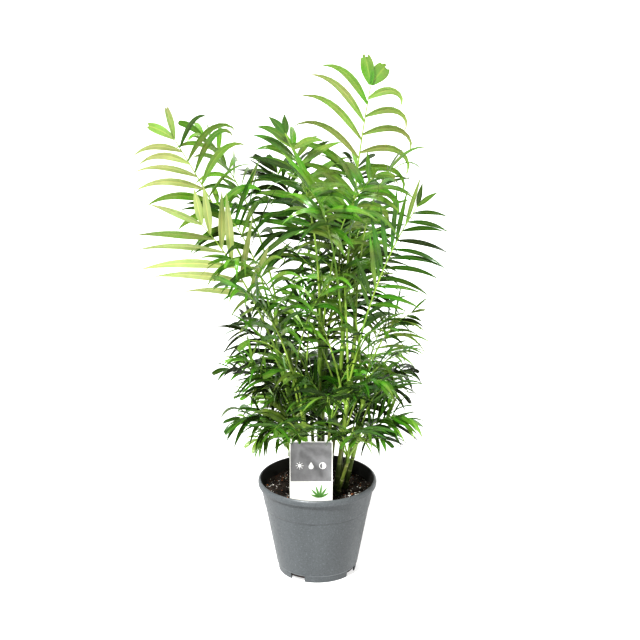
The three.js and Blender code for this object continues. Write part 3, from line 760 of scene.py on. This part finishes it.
def cut_notches(pot):
    """Drain notches through the foot ring, cut square as the mould leaves them."""
    half = POT.foot * sin(radians(POT.notch_width / 2))
    heap = Heap()
    for n in range(POT.notches):
        turn = POT.notch_first + 360 / POT.notches * n
        out, side = swing(EAST, NORTH, turn), swing(NORTH, -EAST, turn)
        box = [
            out * (POT.foot + POT.notch_depth * a) + side * half * b
            + UP * POT.notch_height * c
            for a in (-1, 1) for b in (-1, 1) for c in (-1, 1)
        ]
        heap.add(box, BOX_FACES)
    cutter = heap.shape("notch_cutter")
    cut = pot.modifiers.new("notches", "BOOLEAN")
    cut.operation, cut.solver, cut.object = "DIFFERENCE", "EXACT", cutter
    finished = bpy.data.meshes.new_from_object(
        pot.evaluated_get(bpy.context.evaluated_depsgraph_get())
    )
    pot.modifiers.clear()
    pot.data = finished
    finished.name = pot.name
    bpy.data.objects.remove(cutter)


# -------- soil
def soil_height(x, y):
    """The crumbly top of the soil, lower where it was firmed in near the wall."""
    crumb, heap = SOIL.crumb, SOIL.heap
    crumbly = noise.fractal(Vector((x / crumb, y / crumb, 3.7)), 0.9, 2.1, 4)
    heaped = noise.noise(Vector((x / heap, y / heap, 8.1)))
    edge = clamp((hypot(x, y) - SOIL.firm_from) / SOIL.firm_over, 0, 1)
    rough = SOIL_TOP - SOIL.lower + SOIL.crumb_height * crumbly
    return rough + SOIL.heap_height * heaped - SOIL.firmed * edge


def build_soil():
    rows, sides = SOIL.rows, POT.sides
    rim = inner_radius(SOIL_TOP) - CLEAR
    bottom = FLOOR_TOP + CLEAR
    foot = inner_radius(bottom) - CLEAR
    heap = Heap()
    heap.lathe([(0, 0)] + [(rim * (i + 1) / rows, 0) for i in range(rows)], sides)
    heap.faces = [face[::-1] for face in heap.faces]
    top = heap.vertices[0]
    for vertex in top:
        vertex[2] = soil_height(vertex[0], vertex[1])
    low = top[-sides:] * (foot / rim)
    low[:, 2] = bottom
    wall = [[a - sides, b - sides, b, a] for a, b in neighbours(sides)]
    heap.add(low, wall + [list(range(sides))])
    heap.piece("soil_bed", [crumb_paint("peat", "#120f0d", "#3f3128", 0.95, 190)], "soil", "soil")
    for kind, (name, (count, sizes, spread, paint)) in enumerate(GRAINS.items()):
        crumbs = Heap()
        for n in range(count):
            add_grain(crumbs, n, kind, sizes, spread, rim - SOIL.crumbs_within)
        crumbs.piece(name, [crumb_paint(*paint)], "soil", "soil", smooth=False)


def add_grain(heap, n, kind, sizes, spread, limit):
    """One uneven grain, somewhere on the soil and half sunk in it."""
    far, way, big, proud, broad, high, turned = (chance(n, kind, key) for key in range(7))
    r, a = limit * far**spread, 2 * pi * way
    x, y = r * cos(a), r * sin(a)
    size = lerp(*sizes, big**2)
    centre = np.array([x, y, soil_height(x, y) + size * lerp(-0.2, 0.5, proud)])
    scale = size * np.array([1, lerp(0.5, 1, broad), lerp(0.4, 0.8, high)])
    turn = 2 * pi * turned
    c, s = cos(turn), sin(turn)
    vertices, faces = grain_shape(n, kind)
    spin = np.array([[c, -s, 0], [s, c, 0], [0, 0, 1]])
    heap.add((vertices * scale) @ spin.T + centre, faces)


def grain_shape(n, kind):
    """Two uneven rings of corners between two ends."""
    corners, (low, high) = GRAIN.corners, GRAIN.ends
    vertices = [(0, 0, low)]
    for row, (radius, height) in enumerate(GRAIN.rings):
        for i in range(corners):
            a = 2 * pi * (i + 0.5 * row) / corners
            r = radius * lerp(0.65, 1.1, chance(n, kind, i, row + SALT.grain))
            vertices.append((r * cos(a), r * sin(a), height))
    vertices.append((0, 0, high))
    top = 1 + corners
    ring = neighbours(corners)
    faces = [[0, 1 + b, 1 + a] for a, b in ring]
    faces += [[1 + a, 1 + b, top + a] for a, b in ring]
    faces += [[1 + b, top + b, top + a] for a, b in ring]
    faces += [[top + a, top + b, top + corners] for a, b in ring]
    return np.array(vertices), faces


# -------- label
CARD_HEIGHT = (LABEL.top - SOIL_TOP) / cos(radians(LABEL.lean))
CARD_HALF = LABEL.width / 2
# The print on the card: a grey panel with three care signs, and under it a sprig of leaves, each
# with its turn from upright and its length.
PRINT = Sizes(
    ink=0.1, panel_inset=1.3, panel_foot=35.0, signs_x=16, signs_y=58,
    sprig_x=12, sprig_y=11, leaf_width=3.2,
)
SPRIG = ((-62, 15), (-34, 19), (-8, 21), (18, 20), (44, 18), (70, 14))
SUN = Sizes(radius=2.6, rays=8, ray_from=3.6, ray_to=5.4, ray_half=0.4)
DROP = Sizes(point=5.6, middle=1.4, radius=3.6)
RING = Sizes(outer=4.8, inner=4.0, disc=4.1, pieces=24)


def card_place(x, y, out=0.0):
    """A point of the card, x across and y up from the soil, that far in front of its middle."""
    up, front = swing(UP, NORTH, LABEL.lean), swing(-NORTH, UP, LABEL.lean)
    foot = np.array([LABEL.centre_x, LABEL.soil_y, SOIL_TOP])
    return foot + x * EAST + y * up + out * front


def add_flat(heap, outline, out, depth=PRINT.ink):
    """A flat shape whose front is that far out of the card's middle."""
    n = len(outline)
    front = [card_place(x, y, out) for x, y in outline]
    back = [card_place(x, y, out - depth) for x, y in outline]
    sides = [[a, a + n, b + n, b] for a, b in neighbours(n)]
    heap.add(front + back, [list(range(n)), list(range(2 * n - 1, n - 1, -1))] + sides)


def arc(x, y, r, first, last, count):
    turns = [radians(lerp(first, last, i / count)) for i in range(count + 1)]
    return [(x + r * cos(a), y + r * sin(a)) for a in turns]


def round_top(half, top, count):
    """The two rounded corners at the top of a card, from right to left."""
    r = LABEL.corner
    return arc(half - r, top - r, r, 0, 90, count) + arc(r - half, top - r, r, 90, 180, count)


def turned(shape, x, y, degrees):
    c, s = cos(radians(degrees)), sin(radians(degrees))
    return [(x + a * c - b * s, y + a * s + b * c) for a, b in shape]


def card_outline():
    half, tongue = CARD_HALF, LABEL.tongue_width / 2
    depth, shoulder = LABEL.tongue_depth, LABEL.shoulder
    outline = [(-half, shoulder), (-tongue, shoulder), (-tongue, 8 - depth), (-4, -depth)]
    outline += [(4, -depth), (tongue, 8 - depth), (tongue, shoulder), (half, shoulder)]
    return outline + round_top(half, CARD_HEIGHT, 5)


def leaf_outline(length):
    """A lance-shaped leaf that stands on its foot, for the printed sprig."""
    rise = (0, 0.15, 0.35, 0.6, 0.8, 1)
    half = PRINT.leaf_width / 2
    shape = [(sin(pi * t**0.8) * half, t * length) for t in rise]
    return shape + [(-a, b) for a, b in shape[-2:0:-1]]


def care_signs():
    """The outlines of a sun, a drop and a ring with one half filled, side by side."""
    x, y = PRINT.signs_x, PRINT.signs_y
    yield arc(-x, y, SUN.radius, 0, 345, 23)
    near, far, half = SUN.ray_from, SUN.ray_to, SUN.ray_half
    ray = [(near, -half), (far, -half), (far, half), (near, half)]
    for n in range(SUN.rays):
        yield turned(ray, -x, y, 360 / SUN.rays * n)
    yield [(0, y + DROP.point)] + arc(0, y - DROP.middle, DROP.radius, 155, 385, 18)
    turn = 360 / RING.pieces
    for i in range(RING.pieces):
        a, b = turn * i, turn * (i + 1)
        yield arc(x, y, RING.outer, a, b, 1) + arc(x, y, RING.inner, b, a, 1)
    yield arc(x, y, RING.disc, -90, 90, 14)


def build_label():
    face, ink, inset = LABEL.thickness / 2, PRINT.ink, PRINT.panel_inset
    card, panel, signs, sprig = Heap(), Heap(), Heap(), Heap()
    add_flat(card, card_outline(), face, LABEL.thickness)
    half = CARD_HALF - inset
    corners = [(-half, PRINT.panel_foot), (half, PRINT.panel_foot)]
    add_flat(panel, corners + round_top(half, CARD_HEIGHT - inset, 4), face + ink)
    for outline in care_signs():
        add_flat(signs, outline, face + 2 * ink)
    for turn, length in SPRIG:
        leaf = turned(leaf_outline(length), PRINT.sprig_x, PRINT.sprig_y, turn)
        add_flat(sprig, leaf, face + ink)
    for name, heap, paint, code, cloud, gloss in (
        ("label_card", card, "card_white", "#e4e4df", 0.04, 0.35),
        ("label_panel", panel, "panel_grey", "#747475", 0.2, 0.34),
        ("label_signs", signs, "sign_white", "#f0f0ee", 0.02, 0.4),
        ("label_sprig", sprig, "sprig_green", "#5e8a4a", 0.15, 0.4),
    ):
        material = card_paint(paint, colour(code), cloud, gloss)
        heap.piece(name, [material], "label", "label", smooth=False)


# -------- canes
def scars_on(index, length):
    """Where a cane has its leaf scars: every inch or so, closer towards the foot."""
    scars, at = [], LEAF_SCARS.first
    while at < length - LEAF_SCARS.below_top:
        scars.append(at)
        wider = lerp(LEAF_SCARS.closest, LEAF_SCARS.widest, at / length)
        at += LEAF_SCARS.spacing * wider + LEAF_SCARS.wander * (chance(index, at) - 0.5)
    return scars


def build_canes():
    """Each cane, with every leaf scar a pale ring that stands proud."""
    heap = Heap()
    for index, name in enumerate(CANES):
        length = cane_length(name)
        scars = scars_on(index, length)
        rows = ceil(length / FINE_CANE.step)
        shares = [-FINE_CANE.sunk / length] + [j / rows for j in range(rows + 1)]
        centres = [cane_point(name, h) for h in shares]
        radii, slots = [], []
        for h in shares:
            nearest = min(abs(h * length - scar) for scar in scars)
            ring = exp(-((nearest / LEAF_SCARS.half) ** 2))
            radii.append(cane_radius(max(h, 0)) + LEAF_SCARS.proud * ring)
            slots.append(int(nearest < LEAF_SCARS.half))
        heap.add_tube(centres, radii, FINE_CANE.sides, EAST, slots)
    # The cane's darker foot: aged, browner tissue with painted shade at the base.
    old_and_shaded = colour("#2f3a1c")
    green = stalk_paint("cane_green", colour("#566c2f"), colour("#8c9046"), 0.34, old_and_shaded)
    scar = stalk_paint("cane_scar", colour("#a5a878"), colour("#7a7f4d"), 0.6, times(old_and_shaded, 1.8))
    heap.piece("canes", [green, scar], "canes", *[f"cane_{name}" for name in CANES])


# -------- fronds
# Each green, with its roughness, its coat of clear wax, and how much its patches differ. The two
# darkest are partly painted shade: deep is the older leaves' green made darker still, and the
# darkest is painted shadow for leaflets deep in the crown.
GREENS = {
    "pale": ("#a5b876", 0.36, 0.4, 0.3),
    "fresh": ("#859b59", 0.27, 0.45, 0.6),
    "bright": ("#678b3b", 0.24, 0.4, 1),
    "mid": ("#466e26", 0.21, 0.32, 1),
    "deep": ("#2b4a14", 0.2, 0.14, 1),
    # Painted shadow: the near-black green of leaflets deep inside the crown.
    "painted_shadow": ("#172a09", 0.24, 0.03, 1),
}
SHADES = list(GREENS)
# The greens of each leading frond: on its left, on its right, its last pair and its lowest third. A
# left side paler than the right is painted light on the key lamp's side and painted shade on the
# far side, and a darker lowest third is painted shade inside the crown.
FROND_SHADES = [
    "fresh fresh bright bright",
    "pale bright fresh bright",
    "pale pale pale pale",
    "bright mid mid mid",
    "mid deep mid mid",
    "bright mid mid mid",
    "mid deep mid deep",
    "bright mid bright mid",
    "mid mid bright mid",
]
# The luck that any other frond needs for each green. Low on a cane it has less, so lower fronds
# take darker greens: partly the older leaves' own darker green, partly painted shade inside the
# crown.
SHADE_LUCK = {"bright": 0.86, "mid": 0.44, "deep": 0.14, "painted_shadow": -1}
HEIGHT_LUCK = Sizes(tuft=0.02, middle=0.72, share=0.9)
# How often a leaflet is one green darker, and how many times as often it is paler by one or two.
STRAYS = {"leading": 0.08, "other": 0.18, "paler": 1.3, "palest": 1 / 3}


def shade_of(frond, k, hand):
    """The green of one leaflet: its frond's own, and now and then one near it."""
    if frond.id < len(FROND_SHADES):
        left, right, end, low = FROND_SHADES[frond.id].split()
        along = left if hand < 0 else right
        # A paler left, a darker right and a darker lowest third are painted light and painted
        # shade.
        own = end if k == frond.pairs else low if k < frond.pairs / 3 else along
        often = STRAYS["leading"]
    else:
        # Lower on its cane, a frond draws a darker green: its age and painted shade inside the
        # crown.
        by_height = HEIGHT_LUCK.share * (frond.h - HEIGHT_LUCK.middle)
        luck = chance(frond.id, SALT.shade) + (HEIGHT_LUCK.tuft if frond.tuft else by_height)
        own = next(shade for shade, least in SHADE_LUCK.items() if luck > least)
        often = STRAYS["other"]
    stray = chance(frond.id, k, hand, SALT.stray)
    paler, palest = (stray > 1 - STRAYS[way] * often for way in ("paler", "palest"))
    place = SHADES.index(own)
    lightest = min(place, SHADES.index("bright"))
    return SHADES[clamp(place + (stray < often) - paler - palest, lightest, len(SHADES) - 1)]


def breadth(t, blunt):
    """The leaflet's width along its length, as a share of its widest."""
    outline = BLUNT if blunt else POINTED
    broadest = outline.broadest
    swell = lerp(outline.foot, 1, sin(pi / 2 * min(t / broadest, 1)))
    beyond = max(0, (t - broadest) / (1 - broadest))
    if blunt:
        return swell - BLUNT.narrower * beyond**2
    return swell * cos(pi / 2 * beyond) ** POINTED.power


def carried_along(edge, tangent):
    """The edge direction at each row of a line, turned no more than the line itself turns."""
    rows = []
    for along in tangent:
        edge = unit(edge - along * np.dot(edge, along))
        rows.append(edge)
    return np.array(rows)


def add_leaflet(heap, frond, k, hand, line, edge, width):
    """A thin blade in two halves that meet at the midrib, folded a little along it."""
    blunt = k == frond.pairs and frond.fish > BLUNT.fish
    rows = len(line)
    keep = rows if blunt else rows - 1
    t = np.linspace(0, 1, rows)[:, None]
    tangent = unit(np.gradient(line, axis=0))
    flat = carried_along(edge, tangent)
    upper = np.cross(tangent, flat)
    luck = chance(frond.id, k, hand, SALT.twist) - 0.5
    turn = radians(FINE_LEAF.twist) * 2 * luck * t
    c, s = np.cos(turn), np.sin(turn)
    flat, upper = flat * c + upper * s, upper * c - flat * s
    fold = radians(FINE_LEAF.fold) * (1 - FINE_LEAF.unfolds * t)
    half = np.array([[0.5 * width * breadth(share, blunt)] for share in t[:, 0]])
    columns = np.array(FINE_LEAF.columns)
    lift = half * (np.sin(fold) * columns - FINE_LEAF.curl * columns**2)
    raised = upper[:, None] * lift[..., None]
    for side in HANDS:
        out = side * half * columns * np.cos(fold)
        grid = line[:, None] + flat[:, None] * out[..., None] + raised
        if blunt:
            jag = np.array([chance(frond.id, side, i, SALT.jag) for i in range(len(columns))])
            grid[-1] -= tangent[-1] * (jag * width * BLUNT.jag)[:, None]
        strips = np.stack(np.meshgrid(0.5 + 0.5 * side * columns, t), axis=-1)
        vertices = grid[:keep].reshape(-1, 3)
        places = strips[:keep].reshape(-1, 2)
        corners = [3 * j + column for j in range(keep - 1) for column in (0, 1)]
        faces = [[i, i + 1, i + 4, i + 3] for i in corners]
        if not blunt:
            tip = len(vertices)
            vertices = np.vstack([vertices, line[-1]])
            places = np.vstack([places, [0.5, 1]])
            faces += [[tip - 3, tip - 2, tip], [tip - 2, tip - 1, tip]]
        heap.add(vertices, [face[::-1] for face in faces] if side > 0 else faces, places)


def grow_leaflet(leaves, course, k, hand, bend, slim):
    """One leaflet by the rule, among those of its green."""
    line, edge, width = leaflet_rule(course, k, hand, bend, FINE_LEAF.rows, True)
    frond = course.frond
    add_leaflet(leaves[shade_of(frond, k, hand)], frond, k, hand, line, edge, width * slim)


def grow_leaflets(leaves, course, tree):
    """The leaflets that are in the frame, and on an older or tuft frond, where they are a little
    slimmer, one more between each two."""
    frond = course.frond
    finer = frond.tuft or frond.h < 1
    slim = FINE_LEAF.slim if finer else 1
    bends = {
        (k, hand): bend_in_frame(course, k, hand, tree)
        for k in range(frond.pairs + 1) for hand in HANDS
    }
    for (k, hand), bend in bends.items():
        if bend:
            grow_leaflet(leaves, course, k, hand, bend, slim)
        near = [b for b in (bend, bends.get((k + 1, hand))) if b]
        if finer and near and k < frond.pairs:
            grow_leaflet(leaves, course, k + 0.5, hand, np.mean(near, axis=0), slim)


def add_rib(heap, course):
    """Petiole and rachis in one smooth tapering tube."""
    start = course.blade_start
    shares = np.linspace(0, 1, FINE_RIB.rows)
    centres = [course.root] + [course.smooth_line(s) for s in shares]
    worn = [RIB.petiole_taper * s / start if s < start else s for s in shares]
    radii = [course.frond.slender * lerp(RIB.foot, RIB.tip, w) for w in worn]
    across = course.axes(0.5)[1]
    heap.add_tube(centres, [radii[0], *radii], FINE_RIB.sides, across, squash=FINE_RIB.squash)


def add_sheath(heap, frond):
    """The sleeve of a frond round its cane, or the one that a tuft stands in."""
    shares = np.linspace(0, 1, SHEATH.rows)
    if frond.tuft:
        rise = TUFT.sheath * shares - SHEATH.under
        centres = cane_point(frond.cane, 1) + UP * rise[:, None]
        radii = lerp(TUFT.sheath_foot, TUFT.sheath_top, shares)
    else:
        length = cane_length(frond.cane)
        foot = frond.h - SHEATH.length / length
        high = min(frond.h + SHEATH.over / length, 1)
        centres = np.array([cane_point(frond.cane, h) for h in lerp(foot, high, shares)])
        radii = cane_radius(frond.h) + SHEATH.thickness * (SHEATH.least + shares)
    heap.add_tube(centres, radii, SHEATH.sides, EAST)


def grow_shoot(ribs, leaves, other):
    """A younger frond in the gap beside one of a tuft's, within the tuft's reach."""
    over, lower, petiole, blade, leaf = (
        lerp(least, most, chance(other.id, n, SALT.shoot))
        for n, (least, most) in enumerate(SHOOT.values())
    )
    frond = replace(
        other, id=other.id + SHOOT_ID, az=other.az + TUFT.apart * over, rise=other.rise - lower,
        petiole=other.petiole * petiole, blade=other.blade * blade, leaf=other.leaf * leaf,
        pairs=SHOOT_PAIRS,
    )
    course = Course(frond)
    add_rib(ribs, course)
    for k in range(SHOOT_PAIRS + 1):
        for hand in HANDS:
            grow_leaflet(leaves, course, k, hand, BENDS[0], SHOOT_SLIM)


def grow_fronds():
    ribs, trees = Heap(), {}
    leaves = {shade: Heap() for shade in SHADES}
    leading = [Frond(*sizes, **rest) for *sizes, rest in LEADING_FRONDS]
    for index, frond in enumerate([*leading, *older_fronds(), *tuft_fronds()]):
        frond.id = index
        frond.node = f"tuft_{frond.cane}" if frond.tuft else f"frond_{index + 1:02d}"
        if frond.node not in trees:
            trees[frond.node] = vertex_tree(frond.node)
        frond = as_in_frame(frond, trees[frond.node])
        course = Course(frond)
        add_rib(ribs, course)
        add_sheath(ribs, frond)
        if frond.tuft and frond.cane != NO_SHOOTS:
            grow_shoot(ribs, leaves, frond)
        grow_leaflets(leaves, course, trees[frond.node])
    rib_green = stalk_paint("rib_green", colour("#95ad4e"), colour("#6b8f3a"), 0.34)
    ribs.piece("ribs", [rib_green], "fronds", *trees)
    for shade, heap in leaves.items():
        code, *habit = GREENS[shade]
        paint = leaf_paint(f"leaf_{shade}", colour(code), *habit)
        heap.piece(f"leaflets_{shade}", [paint], "fronds", *trees)


# -------- stage, light and camera
# The floor, in metres: its flat radius, the bend that it rises by, and its top.
STAGE = Sizes(radius=9.0, bend=2.0, height=4.5, sides=96, bend_rows=10)
# Each lamp: azimuth from the front towards the right, elevation, strength, softness and tint.
LAMPS = {
    "key": (-31, 54, 5.7, 8, (1, 1, 1)),
    "fill": (52, 34, 0.45, 50, (1.0, 0.86, 0.7)),
    "rear": (170, 50, 0.8, 50, (1, 1, 1)),
}
LOOKS_DOWN = 18.65  # the camera, in degrees


def build_stage():
    """A plain pale floor that sweeps up all round into a low backdrop, and the lamps over it."""
    radius, bend, rows = STAGE.radius, STAGE.bend, STAGE.bend_rows
    turns = [radians(90 / rows * i) for i in range(rows + 1)]
    curve = [(radius + bend * sin(a), bend * (1 - cos(a))) for a in turns]
    heap = Heap()
    heap.lathe([(0, 0), *curve, (radius + bend, STAGE.height)], STAGE.sides)
    floor = heap.shape("floor", scale=1, smooth=True)
    paint = Paint("floor_pale")
    paint.set(Base_Color=(0.45, 0.45, 0.45, 1), Roughness=0.8)
    paint.set(Emission_Color=(1, 1, 1, 1), Emission_Strength=0.5)
    floor.data.materials.append(paint.material)

    world = bpy.data.worlds.new("studio")
    world.use_nodes = True
    background = world.node_tree.nodes["Background"]
    background.inputs["Color"].default_value = (0.94, 0.97, 1.0, 1)
    background.inputs["Strength"].default_value = 0.08
    bpy.context.scene.world = world
    for name, (azimuth, elevation, strength, softness, tint) in LAMPS.items():
        lamp = bpy.data.lights.new(name, "SUN")
        lamp.energy, lamp.angle, lamp.color = strength, radians(softness), tint
        turn = (radians(90 - elevation), 0, radians(azimuth))
        put_in_scene(name, lamp).rotation_euler = turn
    bpy.context.scene.view_settings.view_transform = "Standard"
    bpy.context.scene.view_settings.look = "High Contrast"


def place_camera():
    """As the photograph was taken: from a little over the plant's top."""
    lens = bpy.data.cameras.new("camera")
    lens.lens, lens.sensor_width = 94.1, 36
    camera = put_in_scene("camera", lens)
    camera.location = (0.0039, -2.2, 1.12)
    camera.rotation_euler = (radians(90 - LOOKS_DOWN), 0, 0)
    bpy.context.scene.camera = camera


build_stage()
place_camera()
build_pot()
build_soil()
build_label()
build_canes()
grow_fronds()
